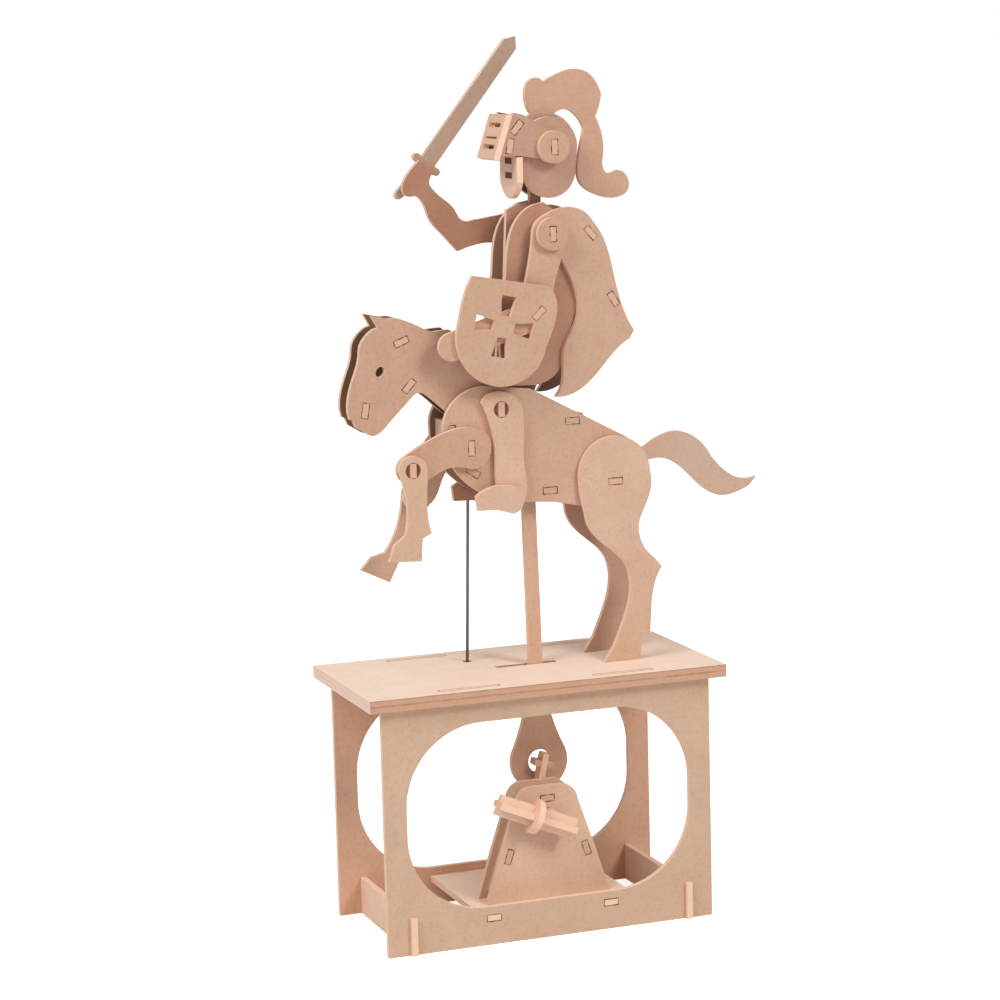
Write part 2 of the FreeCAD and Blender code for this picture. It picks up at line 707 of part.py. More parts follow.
# Forelegs on one axle, and the shins that hang at the knees
def moved(point, pivot, angle):
    turn = math.radians(angle)
    across = point[0] - pivot[0]
    up = point[1] - pivot[1]
    x = pivot[0] + across * math.cos(turn) - up * math.sin(turn)
    z = pivot[1] + across * math.sin(turn) + up * math.cos(turn)
    return (x, z)


def foreleg(name, side, turn, extra=()):
    edge = figure(-16.3, 109.5).curve((-18.6, 116.2), (-26.0, 119.4), (-34.7, 119.0), (-48.8, 113.8))
    edge.curve((-55.0, 110.6), (-60.6, 107.1)).arc((-62.9, 98.7), (-54.5, 94.8))
    edge.curve((-47.8, 96.2), (-38.7, 100.7), (-32.0, 100.9), (-26.1, 99.6))
    edge.arc((-19.1, 102.4), (-16.3, 109.5))
    loops = [edge.close(), slot(FORE, 90 - turn), slot(KNEE, 90 - turn)] + list(extra)
    return side_sheet(name, side, LIMB, loops, turn, FORE)


def shin(name, side, turn, spot):
    edge = figure(-63.5, 101.5).arc((-56.5, 108.5), (-49.5, 101.5))
    edge.curve((-49.8, 94.9), (-50.2, 84.1), (-48.3, 71.5)).line((-52.9, 69.1), (-53.7, 58.4))
    edge.line((-69.5, 59.3), (-66.8, 66.9), (-61.2, 71.2))
    edge.curve((-60.1, 76.3), (-60.2, 88.2), (-63.5, 101.5))
    body = padded(name, "XZ_Plane", [edge.close(), run_hole(KNEE)])
    x = "%.6f" % ((spot[0] - KNEE[0]) * PATTERN)
    z = "%.6f + %s" % ((spot[1] - KNEE[1]) * PATTERN, DECK_LEVEL)
    return turned(body, turn, on_pattern(KNEE), x, mid_layer(side, SHIN), z)


def knee_pin(name, side, spot):
    """A short strip fixed in the foreleg, on which the shin swings."""
    inner = level(LIMB)
    outer = level(SHIN) + THICK
    middle = side * (inner + outer) / 2
    body = padded(name, "XY_Plane", [rectangle((0, middle), TAB, outer - inner)])
    spot_x, spot_z = on_pattern(spot)
    return turned(body, 90, (0, 0), "%.6f" % spot_x, "0", "%.6f + %s" % (spot_z, DECK_LEVEL))


FAR_KNEE = moved(KNEE, FORE, FAR_FORELEG_TURN)
WIRE_RADIUS = size("wire_dia") / 2
hook_on_sheet = on_pattern(moved(WIRE_HOOK, FORE, -FAR_FORELEG_TURN))
keep(foreleg("foreleg_near", NEAR, 0))
keep(foreleg("foreleg_far", FAR, FAR_FORELEG_TURN, [circle(hook_on_sheet, WIRE_RADIUS + size("run_ease"))]))
keep(strip("foreleg_axle", FORE, 90, level(LIMB) + THICK))
keep(joined("knee_pins", [knee_pin("knee_pin_near", NEAR, KNEE), knee_pin("knee_pin_far", FAR, FAR_KNEE)]))
keep(shin("shin_near", NEAR, 0, KNEE))
keep(shin("shin_far", FAR, FAR_SHIN_TURN, FAR_KNEE))


def steel_wire():
    """A stiff wire that slides in the deck and hooks into the far foreleg."""
    layer = size("wire_layer")
    inner = level(LIMB) - 0.2
    places = [(-19.45, layer, -8.0), (-16.3, layer, 88.0), (WIRE_HOOK[0], layer, WIRE_HOOK[1])]
    places.append((WIRE_HOOK[0], inner, WIRE_HOOK[1]))
    points = [FreeCAD.Vector(x * PATTERN, y, z * PATTERN) for x, y, z in places]
    pieces = []
    for number in range(3):
        run = points[number + 1] - points[number]
        rod = doc.addObject("Part::Cylinder", "wire_run_%d" % (number + 1))
        rod.setExpression("Radius", "Sizes.wire_dia / 2")
        rod.Height = run.Length
        turn = FreeCAD.Rotation(FreeCAD.Vector(0, 0, 1), run)
        rod.Placement = FreeCAD.Placement(points[number], turn)
        pieces.append(rod)
    for number in (1, 2):
        bend = doc.addObject("Part::Sphere", "wire_bend_%d" % number)
        bend.setExpression("Radius", "Sizes.wire_dia / 2")
        bend.Placement.Base = points[number]
        pieces.append(bend)
    wire = doc.addObject("Part::MultiFuse", "steel_wire")
    wire.Label = "steel_wire"
    wire.Shapes = pieces
    wire.setExpression("Placement.Base.x", "0 - Sizes.frame_shift")
    wire.setExpression("Placement.Base.z", DECK_LEVEL)
    return wire


keep(steel_wire())


# Rider: a middle sheet, two torso sheets and two cape sheets on shared strips
def torso_spine():
    edge = figure(11.4, 222.8).curve((5.0, 222.0), (-0.5, 219.7)).curve((-1.5, 203.0), (-2.4, 186.0))
    edge.curve((-6.0, 165.0), (-7.5, 150.0), (-9.5, 138.0)).line((-14.8, 137.2), (-15.6, 122.6))
    edge.line((-5.6, 122.6)).arc((6.6, 129.8), (18.2, 122.0)).line((19.0, 114.4), (34.8, 114.4))
    edge.line((34.8, 120.4), (30.0, 122.4), (11.0, 132.2), (13.0, 137.0))
    edge.curve((22.0, 150.0), (26.0, 170.0), (26.6, 200.0), (22.5, 215.0), (16.9, 222.6))
    edge.line((16.9, 214.0), (11.4, 214.0))
    loops = [edge.close(), slot(RIDER_HIP, 90), shoulder_slot(SADDLE_STRIP, 0)]
    loops += [shoulder_slot(WAIST_STRIP, 0), slot(SHOULDER, 90)]
    return middle_sheet("torso_spine", loops)


def torso(name, side):
    edge = figure(10.3, 222.4).curve((3.0, 218.0), (-0.8, 212.8), (-4.4, 198.7), (-5.2, 188.6))
    edge.curve((-9.0, 165.0), (-8.6, 150.0), (-7.0, 137.4)).line((8.1, 137.0))
    edge.curve((21.6, 145.2), (26.0, 160.3), (30.7, 174.8), (30.0, 195.0), (24.0, 214.0), (14.5, 223.2))
    loops = [edge.close(), slot(WAIST_STRIP, 0), slot(SHOULDER, 90)]
    return side_sheet(name, side, TORSO, loops)


def cape(name, side):
    edge = figure(8.3, 208.7).curve((10.4, 214.6), (15.1, 217.8), (26.3, 220.6), (38.3, 213.5))
    edge.curve((45.2, 200.8), (48.8, 185.9), (51.9, 174.1), (58.3, 160.5)).line((56.1, 156.8))
    edge.curve((44.6, 147.4), (33.5, 136.2), (25.7, 131.9), (17.5, 131.0))
    edge.curve((20.9, 137.0), (22.7, 155.5), (28.5, 166.1), (30.0, 173.1), (28.4, 182.7), (21.6, 196.8))
    edge.curve((15.5, 201.4), (10.4, 203.6), (8.3, 208.7))
    loops = [edge.close(), slot(SHOULDER, 90)]
    loops += [slot((x, z), tilt) for x, z, tilt in CAPE_STRIPS]
    return side_sheet(name, side, CAPE, loops)


keep(torso_spine())
keep(joined("torso_plates", [torso("torso_near", NEAR), torso("torso_far", FAR)]))
keep(joined("cape_plates", [cape("cape_near", NEAR), cape("cape_far", FAR)]))
rider_pieces = [spacer("waist_strip", WAIST_STRIP, 0, TORSO)]
for number, (x, z, tilt) in enumerate(CAPE_STRIPS, start=1):
    rider_pieces.append(spacer("cape_spacer_%d" % number, (x, z), tilt, CAPE))
keep(joined("rider_spacers", rider_pieces))
keep(strip("shoulder_axle", SHOULDER, 90, level(WASHER) + THICK))
keep(strip("ear_axle", EAR, 90, level(EAR_WASHER) + THICK))


def washer(name, side, inner, spot):
    return side_sheet(name, side, inner, [circle(on_pattern(spot), size("washer_radius")), slot(spot, 90)])


keep(joined("rider_washers", [
    washer("shoulder_washer_near", NEAR, WASHER, SHOULDER),
    washer("shoulder_washer_far", FAR, WASHER, SHOULDER),
    washer("ear_washer_near", NEAR, EAR_WASHER, EAR),
    washer("ear_washer_far", FAR, EAR_WASHER, EAR),
]))


def rider_leg(name, side):
    edge = figure(-20.4, 130.8).curve((-16.6, 134.6), (-10.7, 135.6), (-3.6, 132.6), (0.2, 126.5))
    edge.curve((0.4, 115.0), (0.0, 102.6), (1.1, 85.7), (-1.2, 80.2), (-6.0, 77.4), (-11.4, 80.0))
    edge.curve((-13.9, 92.7), (-14.6, 112.3), (-17.5, 124.4), (-20.4, 130.8))
    return side_sheet(name, side, LIMB, [edge.close(), run_hole(RIDER_HIP)])


def rider_foot(name, side):
    edge = figure(-25.6, 86.9).line((-24.8, 80.1), (-15.3, 79.8), (-7.2, 77.3))
    edge.arc((-1.5, 84.6), (-8.4, 90.9)).line((-15.4, 91.3))
    edge.curve((-21.0, 89.6), (-25.6, 86.9))
    return side_sheet(name, side, SHIN, [edge.close()])


for suffix, side in (("near", NEAR), ("far", FAR)):
    shank = rider_leg("rider_shank_" + suffix, side)
    foot = rider_foot("rider_foot_" + suffix, side)
    keep(joined("rider_leg_" + suffix, [shank, foot]))


# Helmet with a visor that turns at the ears, and the crown sheet with its plume
def helmet(name, side):
    edge = figure(5.5, 249.0).arc((19.5, 263.0), (33.5, 249.0)).line((32.4, 238.1))
    edge.arc((19.2, 224.9), (6.0, 238.1))
    loops = [edge.close(), slot(EAR, 90)]
    for height in CHIN_HEIGHTS:
        loops.append(rectangle(on_pattern((13.0, height)), TAB, THICK))
    return side_sheet(name, side, HELMET, loops)


def crown_plume():
    edge = figure(13.0, 264.6).arc((7.2, 259.2), (4.6, 254.8)).line((4.6, 243.2))
    edge.arc((7.4, 238.6), (11.4, 235.2)).line((11.4, 214.0), (16.9, 214.0), (16.9, 233.2))
    edge.arc((35.5, 248.6), (24.7, 264.1)).curve((31.8, 265.7), (37.4, 261.2), (39.8, 256.4))
    edge.curve((36.9, 244.3), (37.7, 230.5), (44.7, 225.4), (52.7, 223.2), (60.0, 224.8))
    edge.curve((62.4, 229.5), (61.0, 233.8), (56.3, 236.4)).curve((51.1, 235.2), (48.7, 240.5))
    edge.curve((49.3, 243.8), (49.0, 252.8), (45.6, 262.1)).curve((47.7, 267.0), (48.9, 272.6))
    edge.curve((46.7, 277.9), (42.5, 282.7), (35.9, 284.8), (29.2, 283.6), (22.6, 280.9))
    edge.line((19.5, 279.2)).curve((15.5, 281.2), (12.4, 279.8), (10.3, 275.2), (13.0, 264.6))
    return middle_sheet("crown_plume", [edge.close(), slot(EAR, 90)])


CHIN_HEIGHTS = (236.0, 242.8)
CHIN_X = 3.0
CHIN_TAB = 4.5


def chin_plate():
    """The gorget plate across the helmet's front, with two tab holes."""
    top = 248.5
    step = 244.7
    edge = figure(-11.5, 233.0).curve((-6.5, 227.4), (0, 225.0), (6.5, 227.4), (11.5, 233.0))
    edge.line((11.5, step), (8.2, step), (8.2, top), (-8.2, top), (-8.2, step), (-11.5, step))
    loops = [edge.close()]
    for height in CHIN_HEIGHTS:
        loops.append(rectangle((0, height * PATTERN), 2 * CHIN_TAB, THICK))
    body = padded("chin_plate", "YZ_Plane", loops)
    return place(body, "%.6f" % (CHIN_X * PATTERN), "0", DECK_LEVEL)


def chin_spacer(number, height):
    """A level spacer: tab through the chin plate, tabs in the helmet, slot for the crown sheet."""
    front = CHIN_X * PATTERN - HALF
    shoulder = front + THICK
    middle = 13.0 * PATTERN
    left = middle - TAB / 2
    right = middle + TAB / 2
    inner = level(HELMET)
    outer = inner + THICK
    crown = 8.0 if height < 240 else 4.4
    edge = Outline(front, -CHIN_TAB).line((shoulder, -CHIN_TAB), (shoulder, -inner), (left, -inner))
    edge.line((left, -outer), (right, -outer), (right, -HALF), (crown, -HALF), (crown, HALF))
    edge.line((right, HALF), (right, outer), (left, outer), (left, inner), (shoulder, inner))
    edge.line((shoulder, CHIN_TAB), (front, CHIN_TAB))
    body = padded("chin_spacer_%d" % number, "XY_Plane", [edge.close()])
    return place(body, "0", "0", "%.6f + %s" % (height * PATTERN, DECK_LEVEL))


keep(joined("helmet_plates", [helmet("helmet_near", NEAR), helmet("helmet_far", FAR)]))
keep(crown_plume())
keep(chin_plate())
keep(joined("chin_spacers", [chin_spacer(n, z) for n, z in enumerate(CHIN_HEIGHTS, start=1)]))

VISOR_STRIPS = [(2.0, 258.6, 50), (-1.7, 250.0, 80)]
GRILLE_SPOT = (-5.14, 254.14)
GRILLE_TILT = 71.4
GRILLE_HALF = 10.8


def visor(name, side):
    edge = figure(0.34, 265.5).line((-6.45, 245.3), (3.2, 245.4), (14.5, 243.4))
    edge.arc((27.2, 249.0), (18.5, 256.6)).line((5.2, 264.4))
    loops = [edge.close(), run_hole(EAR)]
    loops += [slot((x, z), tilt) for x, z, tilt in VISOR_STRIPS]
    return side_sheet(name, side, VISOR, loops)


def visor_grille():
    """The face plate, tilted in front of the visor's sides, with three level slits."""
    half_width = level(VISOR) + THICK
    loops = [rectangle((0, 0), 2 * GRILLE_HALF, 2 * half_width)]
    for along, length, width in ((5.6, 15, 2.2), (-5.0, 15, 2.2), (-0.6, 15, 1.0)):
        loops.append(rectangle((along, 0), width, length))
    body = padded("visor_grille", "XY_Plane", loops)
    spot_x, spot_z = on_pattern(GRILLE_SPOT)
    return turned(body, GRILLE_TILT, (0, 0), "%.6f" % spot_x, "0", "%.6f + %s" % (spot_z, DECK_LEVEL))


keep(visor("visor_near", NEAR))
keep(visor("visor_far", FAR))
keep(visor_grille())
visor_pieces = []
for number, (x, z, tilt) in enumerate(VISOR_STRIPS, start=1):
    reach = level(VISOR)
    steps = [(TAB / 2 + 0.8, reach), (TAB / 2, reach + THICK)]
    visor_pieces.append(cross_sheet("visor_spacer_%d" % number, (x, z), tilt, steps))
keep(joined("visor_spacers", visor_pieces))


# Sword arm on the far side, shield arm on the near side
SWORD_GUARD = (-33.3, 241.85)
SWORD_TILT = 51.7


def sword_arm():
    edge = figure(15.5, 199.7).arc((24.5, 208.7), (15.5, 217.7))
    edge.curve((-0.2, 216.3), (-16.0, 214.6), (-22.8, 222.0), (-33.0, 233.6), (-38.7, 243.0))
    edge.arc((-43.4, 241.4), (-44.6, 236.4)).curve((-37.7, 226.0), (-33.1, 214.9), (-19.9, 200.5))
    edge.curve((-12.3, 202.8), (-3.9, 203.6), (6.0, 201.6), (15.5, 199.7))
    return side_sheet("sword_arm", FAR, ARM, [edge.close(), run_hole(SHOULDER)])


def sword():
    """Blade, guard, grip and round pommel, drawn along the blade from the guard."""
    blade = 3.75
    guard = 9.5
    edge = Outline(1.7, blade).line((70.5, blade), (75.0, 0), (70.5, -blade), (1.7, -blade))
    edge.line((1.7, -guard), (-1.7, -guard), (-1.7, -2.3), (-17.6, -2.3))
    edge.arc((-23.6, 0), (-17.6, 2.3)).line((-1.7, 2.3), (-1.7, guard), (1.7, guard))
    body = padded("sword", "XZ_Plane", [edge.close()])
    spot_x, spot_z = on_pattern(SWORD_GUARD)
    height = "%.6f + %s" % (spot_z, DECK_LEVEL)
    return turned(body, SWORD_TILT, (0, 0), "%.6f" % spot_x, mid_layer(FAR, HAND), height)


SHIELD_MIDDLE = (-11.3, 166.8)
SHIELD_STRIP = (6.4, 172.0)
SHIELD_CROSS_TURN = -12
SHIELD_WEDGE = [(5.2, -2.3), (14.5, -3.9), (14.5, 3.9), (5.2, 2.3)]


def shield_arm():
    edge = figure(6.5, 208.7).arc((15.5, 217.7), (24.5, 208.7))
    edge.curve((20.0, 195.0), (16.4, 183.1), (15.2, 172.0)).arc((7.5, 163.6), (-0.4, 171.0))
    edge.curve((2.6, 187.1), (5.0, 198.0), (6.5, 208.7))
    loops = [edge.close(), run_hole(SHOULDER), slot(SHIELD_STRIP, 45)]
    return side_sheet("shield_arm", NEAR, ARM, loops)


def shield_hand():
    edge = figure(-37.8, 164.9).arc((-42.6, 157.4), (-34.2, 152.1)).line((9.6, 164.8))
    edge.arc((14.7, 173.2), (5.6, 178.3))
    return side_sheet("shield_hand", NEAR, HAND, [edge.close(), slot(SHIELD_STRIP, 45)])


def shield():
    """The shield, pierced by four wedges that leave a cross's arms."""
    edge = figure(-26.0, 191.4).line((10.7, 184.8)).curve((15.1, 178.9), (14.9, 169.5), (9.5, 155.7))
    edge.curve((-1.0, 141.7), (-13.6, 138.7), (-26.4, 144.0), (-33.5, 154.5), (-34.7, 165.4))
    edge.curve((-31.3, 179.4), (-28.6, 186.9), (-26.0, 191.4))
    loops = [edge.close(), slot(SHIELD_STRIP, 45)]
    centre = on_pattern(SHIELD_MIDDLE)
    for quarter in range(4):
        angle = SHIELD_CROSS_TURN + 90 * quarter
        corners = []
        for along, across in SHIELD_WEDGE:
            spot = moved((centre[0] + along, centre[1] + across), centre, angle)
            corners.append(spot)
        loops.append(Outline(*corners[0]).line(*corners[1:]).close())
    return side_sheet("shield", NEAR, SHIELD, loops)


def shield_strip():
    inner = level(ARM)
    outer = level(SHIELD) + THICK
    middle = -(inner + outer) / 2
    body = padded("shield_strip", "XY_Plane", [rectangle((0, middle), TAB, outer - inner)])
    spot_x, spot_z = on_pattern(SHIELD_STRIP)
    return turned(body, 45, (0, 0), "%.6f" % spot_x, "0", "%.6f + %s" % (spot_z, DECK_LEVEL))


keep(sword_arm())
keep(sword())
keep(shield_arm())
keep(shield_hand())
keep(shield())
keep(shield_strip())

doc.recompute()

# The frame's origin goes under the middle of the whole figure's reach
reach_box = FreeCAD.BoundBox()
for node in NODES:
    reach_box.add(node.Shape.optimalBoundingBox(False))
shift_row = list(DRIVING_SIZES).index("frame_shift") + 1
sizes.set("B%d" % shift_row, "%.4f" % reach_box.Center.x)
doc.recompute()

for item in doc.Objects:
    if "Invalid" in item.State or "Error" in item.State:
        raise RuntimeError("%s failed: %s" % (item.Label, item.State))
for node in NODES:
    if node.Shape.isNull() or not node.Shape.isValid() or node.Shape.Volume <= 0:
        raise RuntimeError("%s has no valid shape" % node.Label)

os.makedirs("parts", exist_ok=True)
for node in NODES:
    node.Shape.exportStep("parts/%s.step" % node.Label)
print("frame shift", size("frame_shift"), "reach", reach_box)
print(len(NODES), "sub-parts")
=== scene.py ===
import json
import math

import bmesh
import bpy
from mathutils import Matrix, Vector


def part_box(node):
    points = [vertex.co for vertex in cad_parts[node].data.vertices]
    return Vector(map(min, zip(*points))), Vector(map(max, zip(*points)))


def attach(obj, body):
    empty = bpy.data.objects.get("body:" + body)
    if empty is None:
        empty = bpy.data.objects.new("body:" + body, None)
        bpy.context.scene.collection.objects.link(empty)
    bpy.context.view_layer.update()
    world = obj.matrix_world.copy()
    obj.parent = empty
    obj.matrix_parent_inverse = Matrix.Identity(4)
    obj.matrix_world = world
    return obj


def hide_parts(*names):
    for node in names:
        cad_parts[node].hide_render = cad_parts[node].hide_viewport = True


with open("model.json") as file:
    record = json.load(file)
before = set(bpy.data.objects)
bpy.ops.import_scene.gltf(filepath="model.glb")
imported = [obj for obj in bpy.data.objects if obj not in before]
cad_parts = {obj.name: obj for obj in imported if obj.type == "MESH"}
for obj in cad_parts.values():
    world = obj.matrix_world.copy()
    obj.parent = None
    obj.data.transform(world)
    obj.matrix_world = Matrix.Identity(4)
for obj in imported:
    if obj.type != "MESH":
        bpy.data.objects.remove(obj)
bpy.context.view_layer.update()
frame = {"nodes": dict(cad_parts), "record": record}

# A crank automaton of raw 3 mm board: pale deck, warm side sheets, light cut edges, one steel wire.

MM = 0.001
NODES = frame["nodes"]


def srgb(red, green, blue):
    """A linear colour from the 0 to 255 values that a painter would mix."""
    linear = []
    for value in (red, green, blue):
        part = value / 255
        linear.append(part / 12.92 if part <= 0.04045 else ((part + 0.055) / 1.055) ** 2.4)
    return (linear[0], linear[1], linear[2], 1.0)


# One colour for each kind of sheet and cut, some set lighter as painted light and some darker as painted
# shade, then the burns of the cut and the steel
DECK_FACE = srgb(249, 221, 199)
FLOOR_FACE = srgb(248, 220, 197)
# Painted light: the rails' sides are set pale for the light that their left-facing sides catch
RAIL_FACE = srgb(242, 204, 178)
PALE_FACE = srgb(212, 174, 147)
TAIL_FACE = srgb(203, 169, 145)
WARM_FACE = srgb(202, 163, 136)
PANEL_FACE = srgb(209, 174, 146)
BACK_FACE = srgb(216, 170, 141)
BEARING_FACE = srgb(221, 184, 157)
POST_FACE = srgb(212, 170, 142)
HEAD_FACE = srgb(200, 157, 131)
HELMET_FACE = srgb(188, 147, 125)
SHADE_FACE = srgb(182, 135, 110)
SWORD_FACE = srgb(176, 145, 125)
# Painted shade: the sheets on the far side of the figure, the raised arm, the far rider leg, shins, forelegs
# and hind legs, are set darker, mostly for the shade they stand in and partly for the board's own tone
FAR_ARM_SHADED_FACE = srgb(172, 125, 100)
FAR_SHADED_FACE = srgb(198, 158, 133)
STRIP_FACE = srgb(214, 174, 147)
# Painted light: the cut edges are set pale for the light that the left-facing edges catch
PALE_EDGE = srgb(243, 205, 179)
DECK_EDGE = srgb(206, 160, 133)
# Painted light: the deck's ends are set paler than its long edges
DECK_END = srgb(244, 212, 192)
SMOKED_EDGE = srgb(92, 58, 42)
# Painted light: the chin plate, the grille and the crank's handle face left and up towards the lamps and are
# set paler for it
CHIN_FACE = srgb(238, 200, 178)
GRILLE_FACE = srgb(232, 190, 164)
HANDLE_FACE = srgb(240, 198, 171)
BURN_DARK = srgb(70, 40, 28)
BURN_LIGHT = srgb(176, 130, 104)
STEEL = srgb(96, 92, 90)
DULL_STEEL = srgb(104, 102, 100)

# How many times a metre each grain of the board repeats
FINE_GRAIN = 1500
FIBRE_GRAIN = 620
CUT_GRAIN = 420
CLOUD_GRAIN = 60
BROAD_GRAIN = 7

# The slope of the visor's grille and of the crank's handle, in degrees
GRILLE_SLOPE = 71.4
HANDLE_SLOPE = 76.8

LENGTHWAYS = (1.0, 0.0, 0.0)
SIDEWAYS = (0.0, 1.0, 0.0)
LEVEL = (0.0, 0.0, 1.0)


def add_to_scene(name, data):
    piece = bpy.data.objects.new(name, data)
    bpy.context.scene.collection.objects.link(piece)
    return piece


class Graph:
    """Short calls for building a node tree from left to right."""

    def __init__(self, tree):
        self.tree = tree
        self.column = 0

    def add(self, kind, **settings):
        node = self.tree.nodes.new(kind)
        self.column += 1
        node.location = (200 * self.column, 0)
        for name, value in settings.items():
            setattr(node, name, value)
        return node

    def feed(self, socket, value):
        if isinstance(value, bpy.types.NodeSocket):
            self.tree.links.new(value, socket)
        else:
            socket.default_value = value

    def math(self, operation, first, second=0.0):
        node = self.add("ShaderNodeMath", operation=operation)
        self.feed(node.inputs[0], first)
        self.feed(node.inputs[1], second)
        return node.outputs[0]

    def ramp(self, value, low, high, start=0.0, end=1.0):
        node = self.add("ShaderNodeMapRange")
        for name, part in (("Value", value), ("From Min", low), ("From Max", high)):
            self.feed(node.inputs[name], part)
        node.inputs["To Min"].default_value = start
        node.inputs["To Max"].default_value = end
        return node.outputs["Result"]

    def noise(self, place, scale, detail=3.0, rough=0.6):
        node = self.add("ShaderNodeTexNoise")
        self.feed(node.inputs["Vector"], place)
        node.inputs["Scale"].default_value = scale
        node.inputs["Detail"].default_value = detail
        node.inputs["Roughness"].default_value = rough
        return node.outputs["Fac"]

    def stretched(self, place, scale):
        node = self.add("ShaderNodeMapping")
        self.feed(node.inputs["Vector"], place)
        node.inputs["Scale"].default_value = scale
        return node.outputs["Vector"]

    def toned(self, colour, saturation, value):
        node = self.add("ShaderNodeHueSaturation")
        node.inputs["Saturation"].default_value = saturation
        node.inputs["Value"].default_value = value
        self.feed(node.inputs["Color"], colour)
        return node.outputs["Color"]

    def rays(self, *kinds):
        """One for the rays of any of these kinds."""
        ray = self.add("ShaderNodeLightPath")
        seen = ray.outputs[kinds[0]]
        for kind in kinds[1:]:
            seen = self.math("MAXIMUM", seen, ray.outputs[kind])
        return seen

    def mix(self, amount, first, second):
        node = self.add("ShaderNodeMix", data_type="RGBA")
        colours_in = [socket for socket in node.inputs if socket.type == "RGBA"]
        self.feed(node.inputs["Factor"], amount)
        self.feed(colours_in[0], first)
        self.feed(colours_in[1], second)
        return [socket for socket in node.outputs if socket.type == "RGBA"][0]


def new_group(name, inputs, outputs):
    """A shader node group with named sockets, and its graph."""
    tree = bpy.data.node_groups.new(name, "ShaderNodeTree")
    for label, kind, value in inputs:
        socket = tree.interface.new_socket(name=label, in_out="INPUT", socket_type=kind)
        socket.default_value = value
    for label, kind in outputs:
        tree.interface.new_socket(name=label, in_out="OUTPUT", socket_type=kind)
    graph = Graph(tree)
    return tree, graph, graph.add("NodeGroupInput"), graph.add("NodeGroupOutput")


COLOUR = "NodeSocketColor"
NUMBER = "NodeSocketFloat"
VECTOR = "NodeSocketVector"


def board_surface():
    """Pressed fibre board: speckled faces, streaked cut edges, found from the sheet's own axis."""
    tree, graph, given, result = new_group(
        "board_surface",
        [
            ("Face", COLOUR, WARM_FACE),
            ("Edge", COLOUR, PALE_EDGE),
            ("Axis", VECTOR, SIDEWAYS),
            ("Speckle", NUMBER, 0.5),
            ("Mottle", NUMBER, 0.5),
            ("Inside", NUMBER, 0.0),
        ],
        [("Color", COLOUR), ("Roughness", NUMBER), ("Height", NUMBER)],
    )
    where = graph.add("ShaderNodeTexCoord")
    place = where.outputs["Object"]
    dot = graph.add("ShaderNodeVectorMath", operation="DOT_PRODUCT")
    graph.feed(dot.inputs[0], where.outputs["Normal"])
    graph.feed(dot.inputs[1], given.outputs["Axis"])
    facing = graph.ramp(graph.math("ABSOLUTE", dot.outputs["Value"]), 0.6, 0.8)

    fine = graph.noise(place, FINE_GRAIN, 2.0, 0.7)
    fibre = graph.noise(place, FIBRE_GRAIN, 3.0, 0.75)
    cloud = graph.noise(place, CLOUD_GRAIN, 4.0, 0.6)
    broad = graph.noise(place, BROAD_GRAIN, 2.0, 0.5)

    shade = graph.toned(given.outputs["Face"], 1.12, 0.72)
    light = graph.toned(given.outputs["Face"], 0.86, 1.10)

    specks = graph.math("MULTIPLY", graph.ramp(fibre, 0.50, 0.72), given.outputs["Speckle"])
    grains = graph.math("MULTIPLY", graph.ramp(fine, 0.52, 0.70), given.outputs["Speckle"])
    clouds = graph.math("MULTIPLY", graph.ramp(cloud, 0.38, 0.66), given.outputs["Mottle"])
    face = graph.mix(clouds, given.outputs["Face"], light)
    face = graph.mix(specks, face, shade)
    face = graph.mix(graph.math("MULTIPLY", grains, 0.5), face, light)
    tone = graph.math("MULTIPLY", graph.ramp(broad, 0.35, 0.65), 0.16)
    face = graph.mix(tone, face, shade)

    burnt = graph.toned(given.outputs["Edge"], 1.25, 0.66)
    streak = graph.ramp(graph.noise(place, CUT_GRAIN, 2.0, 0.6), 0.45, 0.85, 0.0, 0.2)
    edge = graph.mix(streak, given.outputs["Edge"], burnt)

    # Painted shade: faces turned to the middle plane, in the gaps between the sheets, are darkened to a
    # deeper brown
    normal_parts = graph.add("ShaderNodeSeparateXYZ")
    graph.feed(normal_parts.inputs[0], where.outputs["Normal"])
    place_parts = graph.add("ShaderNodeSeparateXYZ")
    graph.feed(place_parts.inputs[0], place)
    outward = graph.math("MULTIPLY", normal_parts.outputs["Y"], graph.math("SIGN", place_parts.outputs["Y"]))
    painted_inner_shade = graph.math("MULTIPLY", graph.ramp(outward, -0.4, -0.7), given.outputs["Inside"])
    face = graph.mix(painted_inner_shade, face, graph.toned(face, 1.2, 0.40))

    graph.feed(result.inputs["Color"], graph.mix(facing, edge, face))
    rough = graph.ramp(fibre, 0.3, 0.7, 0.66, 0.84)
    graph.feed(result.inputs["Roughness"], rough)
    height = graph.math("ADD", graph.math("MULTIPLY", fine, 0.5), graph.math("MULTIPLY", fibre, 0.6))
    graph.feed(result.inputs["Height"], height)
    return tree


BOARD = board_surface()
BOARD_BUMP = 0.12 * MM
STEEL_BUMP = 0.05 * MM


def new_material(name):
    """A material, its graph and its surface shader."""
    material = bpy.data.materials.new(name)
    material.use_nodes = True
    graph = Graph(material.node_tree)
    surface = material.node_tree.nodes["Principled BSDF"]
    return material, graph, surface


